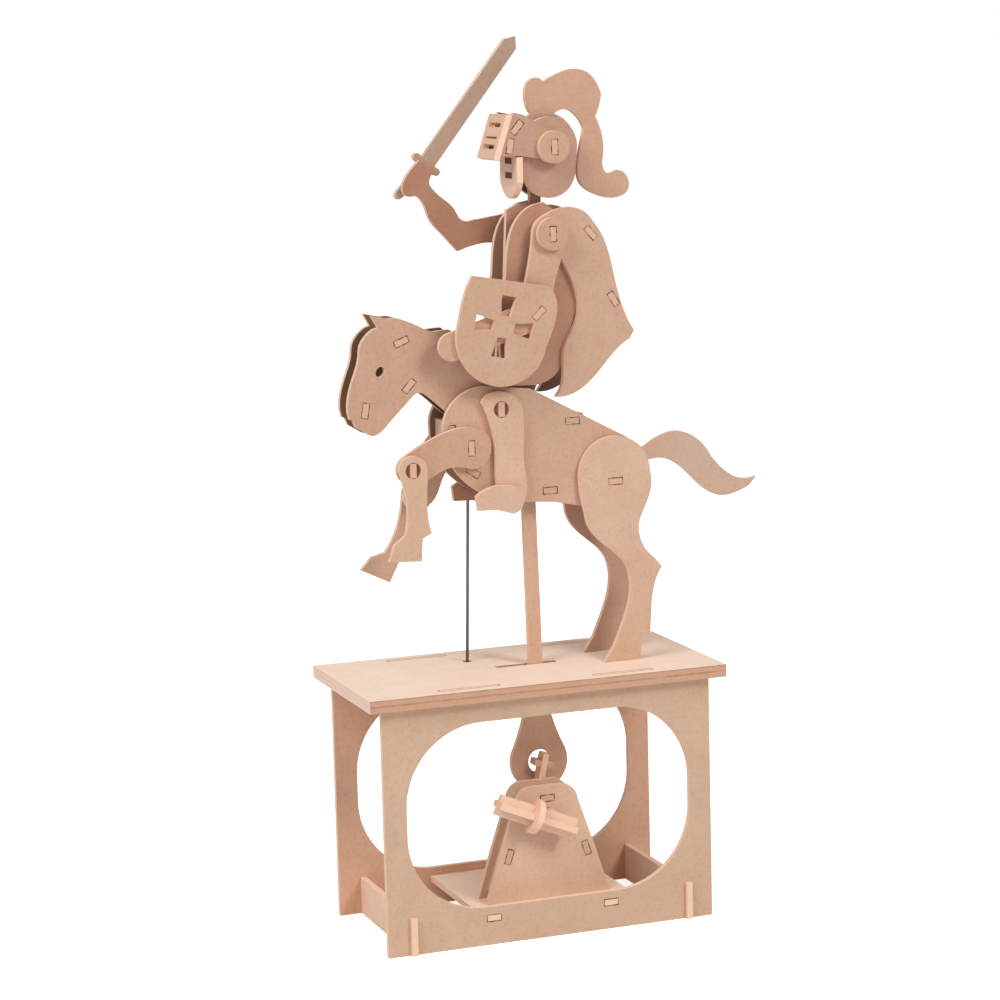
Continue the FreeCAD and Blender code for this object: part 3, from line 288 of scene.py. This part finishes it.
def board(name, face, edge, axis=SIDEWAYS, inner_shade_amount=0.0, speckle=0.45, mottle=0.45):
    """Raw board for one set of sheets that lie square to one axis."""
    material, graph, surface = new_material(name)
    group = graph.add("ShaderNodeGroup")
    group.node_tree = BOARD
    group.inputs["Face"].default_value = face
    group.inputs["Edge"].default_value = edge
    group.inputs["Axis"].default_value = axis
    group.inputs["Speckle"].default_value = speckle
    group.inputs["Mottle"].default_value = mottle
    group.inputs["Inside"].default_value = inner_shade_amount
    bump = graph.add("ShaderNodeBump")
    bump.inputs["Strength"].default_value = 0.35
    bump.inputs["Distance"].default_value = BOARD_BUMP
    graph.feed(bump.inputs["Height"], group.outputs["Height"])
    graph.feed(surface.inputs["Base Color"], group.outputs["Color"])
    graph.feed(surface.inputs["Roughness"], group.outputs["Roughness"])
    graph.feed(surface.inputs["Normal"], bump.outputs["Normal"])
    surface.inputs["Specular IOR Level"].default_value = 0.25
    return material


SEAM_LINE = 0.5 * MM
TOP_LINE = 0.7 * MM
LINE_WANDER = 0.25 * MM
LINE_STRENGTH = 0.34
LINE_AT_ENDS = 0.25
LINE_GRAIN = 160


def deck_board():
    """The deck's two glued boards: ends painted pale as painted light, browned long edges, a burnt line at
    the seam and the top.
    """
    material = board("deck_board", DECK_FACE, DECK_EDGE, LEVEL, speckle=0.30)
    graph = Graph(material.node_tree)
    group = [node for node in material.node_tree.nodes if node.type == "GROUP"][0]
    where = graph.add("ShaderNodeTexCoord")
    normal = graph.add("ShaderNodeSeparateXYZ")
    graph.feed(normal.inputs[0], where.outputs["Normal"])
    spot = graph.add("ShaderNodeSeparateXYZ")
    graph.feed(spot.inputs[0], where.outputs["Object"])
    # Painted light: the deck's ends, turned to the lamps, are painted paler than its long edges
    at_end = graph.ramp(graph.math("ABSOLUTE", normal.outputs["X"]), 0.6, 0.8)
    edge = graph.mix(at_end, DECK_EDGE, DECK_END)
    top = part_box("deck_upper")[1][2]
    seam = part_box("deck_upper")[0][2]
    grain = graph.noise(where.outputs["Object"], LINE_GRAIN, 3.0, 0.6)
    wander = graph.ramp(grain, 0.3, 0.7, -LINE_WANDER, LINE_WANDER)
    for height, width in ((seam, SEAM_LINE), (top, TOP_LINE)):
        away = graph.math("SUBTRACT", spot.outputs["Z"], height)
        away = graph.math("ADD", graph.math("ABSOLUTE", away), wander)
        line = graph.ramp(away, width, 0.2 * width, 0.0, LINE_STRENGTH)
        line = graph.math("MULTIPLY", line, graph.ramp(at_end, 0.0, 1.0, 1.0, LINE_AT_ENDS))
        edge = graph.mix(line, edge, SMOKED_EDGE)
    graph.feed(group.inputs["Edge"], edge)
    return material


def drawn_steel():
    """Steel wire, brushed along its length and slightly dull."""
    material, graph, surface = new_material("drawn_steel")
    where = graph.add("ShaderNodeTexCoord")
    streak = graph.noise(graph.stretched(where.outputs["Object"], (1.0, 1.0, 0.04)), 3000, 3.0, 0.6)
    graph.feed(surface.inputs["Base Color"], graph.mix(graph.ramp(streak, 0.4, 0.7), STEEL, DULL_STEEL))
    graph.feed(surface.inputs["Roughness"], graph.ramp(streak, 0.3, 0.7, 0.28, 0.48))
    bump = graph.add("ShaderNodeBump")
    bump.inputs["Strength"].default_value = 0.3
    bump.inputs["Distance"].default_value = STEEL_BUMP
    graph.feed(bump.inputs["Height"], streak)
    graph.feed(surface.inputs["Normal"], bump.outputs["Normal"])
    surface.inputs["Metallic"].default_value = 1.0
    return material


def tilted(degrees):
    """The across direction of a strip tilted in the side view."""
    turn = math.radians(degrees)
    return (-math.sin(turn), 0.0, math.cos(turn))


FINISHES = {
    "deck": deck_board(),
    "floor": board("floor_board", FLOOR_FACE, PALE_EDGE, LEVEL),
    "panel": board("panel_board", PANEL_FACE, PALE_EDGE),
    "back": board("back_board", BACK_FACE, PALE_EDGE),
    "rail": board("rail_board", RAIL_FACE, PALE_EDGE, LENGTHWAYS),
    "bearing": board("bearing_board", BEARING_FACE, PALE_EDGE),
    "post": board("post_board", POST_FACE, PALE_EDGE),
    # Painted shade: the amount given last on the pale, warm, head and helmet boards darkens their faces
    # turned to the middle
    "pale": board("pale_board", PALE_FACE, PALE_EDGE, inner_shade_amount=0.3),
    "tail": board("tail_board", TAIL_FACE, PALE_EDGE),
    "warm": board("warm_board", WARM_FACE, PALE_EDGE, inner_shade_amount=0.8),
    "head": board("head_board", HEAD_FACE, PALE_EDGE, inner_shade_amount=1.0),
    "helmet": board("helmet_board", HELMET_FACE, PALE_EDGE, inner_shade_amount=0.8),
    "shade": board("shade_board", SHADE_FACE, PALE_EDGE),
    "far_arm": board("far_arm_board", FAR_ARM_SHADED_FACE, PALE_EDGE),
    "far_leg": board("far_leg_board", FAR_SHADED_FACE, PALE_EDGE),
    "sword": board("sword_board", SWORD_FACE, PALE_EDGE),
    "strip": board("strip_board", STRIP_FACE, STRIP_FACE, LEVEL),
    "chin": board("chin_board", CHIN_FACE, PALE_EDGE, LENGTHWAYS),
    "chin_strip": board("chin_strip_board", HELMET_FACE, SMOKED_EDGE),
    # Painted light: the trunk spacers' cut edges take the chin's pale colour
    "trunk_strip": board("trunk_strip_board", WARM_FACE, CHIN_FACE),
    "grille": board("grille_board", GRILLE_FACE, PALE_EDGE, tilted(GRILLE_SLOPE)),
    "handle": board("handle_board", HANDLE_FACE, PALE_EDGE, tilted(HANDLE_SLOPE)),
    "steel": drawn_steel(),
}

FINISH_OF = {
    "deck": ["deck_upper", "deck_lower"],
    "floor": ["floor_plate"],
    "panel": ["front_panel"],
    "back": ["back_panel"],
    "rail": ["end_rails"],
    "bearing": ["bearing_front_plate", "bearing_rear_plate"],
    "post": ["post_lever"],
    "pale": ["hind_leg_near", "shin_near", "rider_leg_near"],
    "tail": ["tail"],
    "warm": ["trunk_near", "trunk_far", "cape_plates", "shield", "shield_hand", "shield_arm"],
    "head": ["head_near", "head_far", "foreleg_near", "crown_plume", "rider_washers"],
    "helmet": ["helmet_plates", "visor_near", "visor_far"],
    "shade": ["torso_plates", "torso_spine", "post_hangers"],
    "far_arm": ["sword_arm", "rider_leg_far"],
    "far_leg": ["shin_far", "foreleg_far", "hind_leg_far"],
    "sword": ["sword"],
    "chin": ["chin_plate"],
    "chin_strip": ["chin_spacers"],
    "trunk_strip": ["trunk_spacers"],
    "grille": ["visor_grille"],
    "handle": ["crank_plate", "lever_plate", "lever_fin", "lever_disc"],
    "steel": ["steel_wire", "post_pivot_pin"],
}


def dress_nodes():
    """Give every node of the frame its finish; what isn't named is a cut strip."""
    finish_by_node = {node: finish for finish, nodes in FINISH_OF.items() for node in nodes}
    for name, node in NODES.items():
        material = FINISHES[finish_by_node.get(name, "strip")]
        for slot in range(len(node.material_slots)):
            node.material_slots[slot].material = material
        if not node.material_slots:
            node.data.materials.append(material)


dress_nodes()


# The raised hand and its sword, cut as sheets on the figure's own pattern
PATTERN_MIDDLE = (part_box("deck_upper")[0][0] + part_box("deck_upper")[1][0]) / 2
DECK_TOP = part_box("deck_upper")[1][2]
BOARD_HALF = 1.5 * MM
WELD = 0.001 * MM
CURVE_STEPS = 10
SHOULDER = (15.5, 208.7)
SHOULDER_HOLE = 3.88
GUARD_MIDDLE = (-33.3, 241.85)
SWORD_TILT = math.radians(51.7)

# Points of each outline in millimetres, True where the edge turns a sharp corner
ARM_EDGE = [
    (15.5, 199.7, False), (24.5, 208.7, False), (15.5, 217.7, False), (-0.2, 216.3, False),
    (-9.9, 215.0, False), (-16.9, 214.8, False), (-22.1, 221.6, False), (-31.3, 229.8, False),
    (-33.3, 233.0, False), (-32.2, 236.8, False), (-29.8, 239.4, True), (-38.0, 244.2, True),
    (-41.1, 240.9, False), (-44.6, 236.6, False), (-46.6, 232.4, False), (-46.2, 228.8, False),
    (-43.4, 227.2, False), (-40.1, 227.4, False), (-37.4, 225.2, False), (-33.2, 215.4, False),
    (-26.9, 208.2, False), (-19.9, 200.4, True), (-13.2, 202.5, False), (-3.6, 203.7, False),
    (6.0, 201.6, False),
]
# The sword's points lie along the blade from the guard's middle
SWORD_EDGE = [
    (1.6, 3.75, True), (70.5, 3.75, True), (75.0, 0.0, True), (70.5, -3.75, True), (1.6, -3.75, True),
    (1.4, -7.2, False), (-0.2, -7.8, False), (-1.5, -7.0, False), (-1.6, -2.3, True),
    (-17.5, 0.4, True), (-20.4, 0.9, False), (-21.8, 2.5, False), (-20.4, 4.3, False),
    (-17.8, 4.4, True), (-1.6, 2.3, True), (-1.5, 7.0, False), (-0.2, 7.8, False), (1.4, 7.2, False),
]


def on_pattern(x, height):
    """A place of the figure's pattern in the frame, from millimetres over the deck."""
    return (PATTERN_MIDDLE + x * MM, DECK_TOP + height * MM)


def along_sword(along, across):
    turned = (
        along * math.cos(SWORD_TILT) - across * math.sin(SWORD_TILT),
        along * math.sin(SWORD_TILT) + across * math.cos(SWORD_TILT),
    )
    return on_pattern(GUARD_MIDDLE[0] + turned[0], GUARD_MIDDLE[1] + turned[1])


def closed_edge(curve, points):
    """One closed outline of a sheet: straight into its sharp corners, rounded through the rest."""
    spline = curve.splines.new("BEZIER")
    spline.bezier_points.add(len(points) - 1)
    for knot, (x, height, sharp) in zip(spline.bezier_points, points):
        knot.co = (x, height, 0.0)
        knot.handle_left_type = "VECTOR" if sharp else "AUTO"
        knot.handle_right_type = "VECTOR" if sharp else "AUTO"
    spline.use_cyclic_u = True


def cut_sheet(name, edges, node, finish):
    """A board sheet in the layer of the node that it stands for."""
    low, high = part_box(node)
    curve = bpy.data.curves.new("%s_edge" % name, "CURVE")
    curve.dimensions = "2D"
    curve.fill_mode = "BOTH"
    curve.resolution_u = CURVE_STEPS
    curve.extrude = BOARD_HALF
    for points in edges:
        closed_edge(curve, points)
    pattern = bpy.data.objects.new("%s_pattern" % name, curve)
    data = bpy.data.meshes.new_from_object(pattern)
    data.name = name
    bpy.data.objects.remove(pattern)
    bpy.data.curves.remove(curve)
    middle = Matrix.Translation((0.0, (low[1] + high[1]) / 2, 0.0))
    data.transform(middle @ Matrix.Rotation(math.radians(90), 4, "X"))
    shape = bmesh.new()
    shape.from_mesh(data)
    bmesh.ops.remove_doubles(shape, verts=shape.verts, dist=WELD)
    bmesh.ops.recalc_face_normals(shape, faces=shape.faces)
    shape.to_mesh(data)
    shape.free()
    data.materials.clear()
    data.materials.append(FINISHES[finish])
    piece = add_to_scene(name, data)
    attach(piece, BODY_OF[node])
    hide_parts(node)


def shoulder_ring():
    """The round hole that turns on the shoulder axle."""
    ring = []
    for eighth in range(8):
        turn = math.radians(45 * eighth)
        spot = (SHOULDER[0] + SHOULDER_HOLE * math.cos(turn), SHOULDER[1] + SHOULDER_HOLE * math.sin(turn))
        ring.append((*on_pattern(*spot), False))
    return ring


def raised_hand():
    """The arm with its fist and the sword that the fist holds."""
    arm = [(*on_pattern(x, height), sharp) for x, height, sharp in ARM_EDGE]
    cut_sheet("raised_arm_and_fist", [arm, shoulder_ring()], "sword_arm", "far_arm")
    blade = [(*along_sword(along, across), sharp) for along, across, sharp in SWORD_EDGE]
    cut_sheet("raised_sword", [blade], "sword", "sword")


BODY_OF = {node: body for body, nodes in frame["record"]["behaviour"]["bodies"].items() for node in nodes}
raised_hand()


# Burnt outlines round the tab ends that lie flush in a sheet's face
ACROSS = Vector((0.0, 1.0, 0.0))
UPWARD = Vector((0.0, 0.0, 1.0))
# Smallest and largest area of a tab's end, in square millimetres
TAB_END = (19.0, 23.0)
PANEL_TAB_END = (80.0, 100.0)
# Reach of a burnt outline from the seam, its depth and its rise over the face; half as wide in the deck
BURN_OUT = 0.34 * MM
BURN_IN = 0.12 * MM
BURN_DEPTH = 0.10 * MM
BURN_RISE = 0.05 * MM
DECK_BURN = 0.5
SQUARE_ON = 0.99

FLUSH_TABS = {
    "trunk_spacers": (ACROSS, TAB_END),
    "head_spacers": (ACROSS, TAB_END),
    "rider_spacers": (ACROSS, TAB_END),
    "visor_spacers": (ACROSS, TAB_END),
    "foreleg_axle": (ACROSS, TAB_END),
    "hip_axle": (ACROSS, TAB_END),
    "ear_axle": (ACROSS, TAB_END),
    "shoulder_axle": (ACROSS, TAB_END),
    "shield_strip": (ACROSS, TAB_END),
    "bearing_spacers": (ACROSS, TAB_END),
    "floor_plate": (ACROSS, TAB_END),
    "front_panel": (UPWARD, PANEL_TAB_END),
    "back_panel": (UPWARD, PANEL_TAB_END),
}


def burnt_board():
    """Board browned by the cut, darker in short stretches."""
    material, graph, surface = new_material("burnt_board")
    where = graph.add("ShaderNodeTexCoord")
    patch = graph.ramp(graph.noise(where.outputs["Object"], 380, 2.0, 0.6), 0.44, 0.56)
    colour = graph.mix(patch, BURN_DARK, BURN_LIGHT)
    graph.feed(surface.inputs["Base Color"], colour)
    graph.feed(surface.inputs["Roughness"], graph.ramp(patch, 0.0, 1.0, 0.95, 0.8))
    return material


BURNT = burnt_board()


def tab_ends(node, axis, areas):
    """The node's oblong faces square to an axis, each as its outward normal and corners."""
    mesh = bmesh.new()
    mesh.from_mesh(node.data)
    bmesh.ops.remove_doubles(mesh, verts=mesh.verts, dist=WELD)
    bmesh.ops.dissolve_limit(mesh, angle_limit=math.radians(1), verts=mesh.verts, edges=mesh.edges)
    found = []
    for face in mesh.faces:
        area = face.calc_area() / MM ** 2
        if len(face.verts) == 4 and abs(face.normal.dot(axis)) > SQUARE_ON and areas[0] < area < areas[1]:
            found.append((face.normal.copy(), [corner.co.copy() for corner in face.verts]))
    mesh.free()
    return found


def burnt_outline(mesh, normal, corners, width):
    """A thin closed ring on the seam round one tab end."""
    middle = sum(corners, Vector()) / len(corners)
    rings = []
    out, back = BURN_OUT * width, -BURN_IN * width
    for spread, rise in ((out, BURN_RISE), (back, BURN_RISE), (back, -BURN_DEPTH), (out, -BURN_DEPTH)):
        ring = []
        for number, corner in enumerate(corners):
            before = (corners[number - 1] - corner).normalized()
            after = (corners[(number + 1) % len(corners)] - corner).normalized()
            ring.append(mesh.verts.new(corner - (before + after) * spread + normal * rise))
        rings.append(ring)
    turned_out = (corners[1] - corners[0]).cross(middle - corners[0]).dot(normal) > 0
    for level in range(4):
        low, high = rings[level], rings[(level + 1) % 4]
        for number in range(len(corners)):
            follower = (number + 1) % len(corners)
            loop = [low[number], low[follower], high[follower], high[number]]
            mesh.faces.new(loop if turned_out else loop[::-1])


def burn_tab_seams():
    """One set of burnt outlines for each body, riding with it."""
    seams = {}
    for name, (axis, areas) in FLUSH_TABS.items():
        width = DECK_BURN if axis == UPWARD else 1.0
        ends = [(*end, width) for end in tab_ends(NODES[name], axis, areas)]
        seams.setdefault(BODY_OF[name], []).extend(ends)
    for body, ends in seams.items():
        mesh = bmesh.new()
        for normal, corners, width in ends:
            burnt_outline(mesh, normal, corners, width)
        data = bpy.data.meshes.new("%s_tab_seams" % body)
        mesh.to_mesh(data)
        mesh.free()
        data.materials.append(BURNT)
        piece = add_to_scene("%s_tab_seams" % body, data)
        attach(piece, body)


burn_tab_seams()


# Floor, light and camera
WHITE = (1.0, 1.0, 1.0, 1.0)
FLOOR_TONE = (0.86, 0.86, 0.86, 1.0)
FLOOR_REACH = 6.0
FLOOR_DROP = 0.2 * MM
FLOOR_GLOW = 0.72
WORLD_LEVEL = 0.34


def pale_floor():
    """White paper that the camera sees brighter than its light would make it."""
    mesh = bpy.data.meshes.new("studio_floor")
    reach = FLOOR_REACH
    corners = [(-reach, -reach, 0), (reach, -reach, 0), (reach, reach, 0), (-reach, reach, 0)]
    mesh.from_pydata(corners, [], [(0, 1, 2, 3)])
    floor = add_to_scene("studio_floor", mesh)
    floor.location.z = -FLOOR_DROP
    material, graph, surface = new_material("studio_floor_paper")
    surface.inputs["Base Color"].default_value = FLOOR_TONE
    surface.inputs["Roughness"].default_value = 0.9
    seen = graph.rays("Is Camera Ray", "Is Glossy Ray")
    surface.inputs["Emission Color"].default_value = WHITE
    graph.feed(surface.inputs["Emission Strength"], graph.math("MULTIPLY", seen, FLOOR_GLOW))
    mesh.materials.append(material)


def soft_world():
    """White to the camera and a softer level as light."""
    world = bpy.data.worlds.new("studio_light")
    bpy.context.scene.world = world
    world.use_nodes = True
    graph = Graph(world.node_tree)
    backdrop = world.node_tree.nodes["Background"]
    seen = graph.rays("Is Camera Ray", "Is Glossy Ray", "Is Transmission Ray")
    backdrop.inputs["Color"].default_value = WHITE
    graph.feed(backdrop.inputs["Strength"], graph.ramp(seen, 0.0, 1.0, WORLD_LEVEL, 1.0))


CAMERA_AZIMUTH = math.radians(20.18)
CAMERA_DROP = math.radians(8.89)
CAMERA_ROLL = math.radians(-1.51)
CAMERA_TARGET = Vector((-25.8, 0.0, 206.4)) * MM
CAMERA_DISTANCE = 1431 * MM
FOCAL_PIXELS = 2986
PICTURE_PIXELS = 1000
FILM_WIDTH = 36.0
VIEW_REACH = 20

KEY_PLACE = (0.75, -1.45, 1.35)
KEY_POWER = 17
KEY_WIDTH = 0.6
WINDOW_PLACE = (-1.3, -0.65, 1.6)
WINDOW_POWER = 20
WINDOW_WIDTH = 0.9


def camera():
    """The photograph's viewpoint: a little above, from the front left."""
    forward = Vector((
        math.sin(CAMERA_AZIMUTH) * math.cos(CAMERA_DROP),
        math.cos(CAMERA_AZIMUTH) * math.cos(CAMERA_DROP),
        -math.sin(CAMERA_DROP),
    ))
    right = Vector((math.cos(CAMERA_AZIMUTH), -math.sin(CAMERA_AZIMUTH), 0.0))
    up = right.cross(forward)
    turned_right = right * math.cos(CAMERA_ROLL) + up * math.sin(CAMERA_ROLL)
    turned_up = up * math.cos(CAMERA_ROLL) - right * math.sin(CAMERA_ROLL)
    view = bpy.data.cameras.new("photo_view")
    view.lens = FOCAL_PIXELS / PICTURE_PIXELS * FILM_WIDTH
    view.sensor_width = FILM_WIDTH
    view.clip_end = VIEW_REACH
    eye = add_to_scene("photo_view", view)
    turn = Matrix((turned_right, turned_up, -forward)).transposed()
    eye.matrix_world = Matrix.Translation(CAMERA_TARGET - forward * CAMERA_DISTANCE) @ turn.to_4x4()
    bpy.context.scene.camera = eye


def area_light(name, place, power, width):
    """A square lamp aimed at the middle of the picture, its power in watts and its width in metres."""
    lamp = bpy.data.lights.new(name, "AREA")
    lamp.energy = power
    lamp.size = width
    light = add_to_scene(name, lamp)
    light.location = place
    light.rotation_euler = (CAMERA_TARGET - Vector(place)).to_track_quat("-Z", "Y").to_euler()


pale_floor()
soft_world()
camera()
area_light("key_light", KEY_PLACE, KEY_POWER, KEY_WIDTH)
area_light("window_light", WINDOW_PLACE, WINDOW_POWER, WINDOW_WIDTH)
bpy.context.scene.view_settings.view_transform = "Standard"
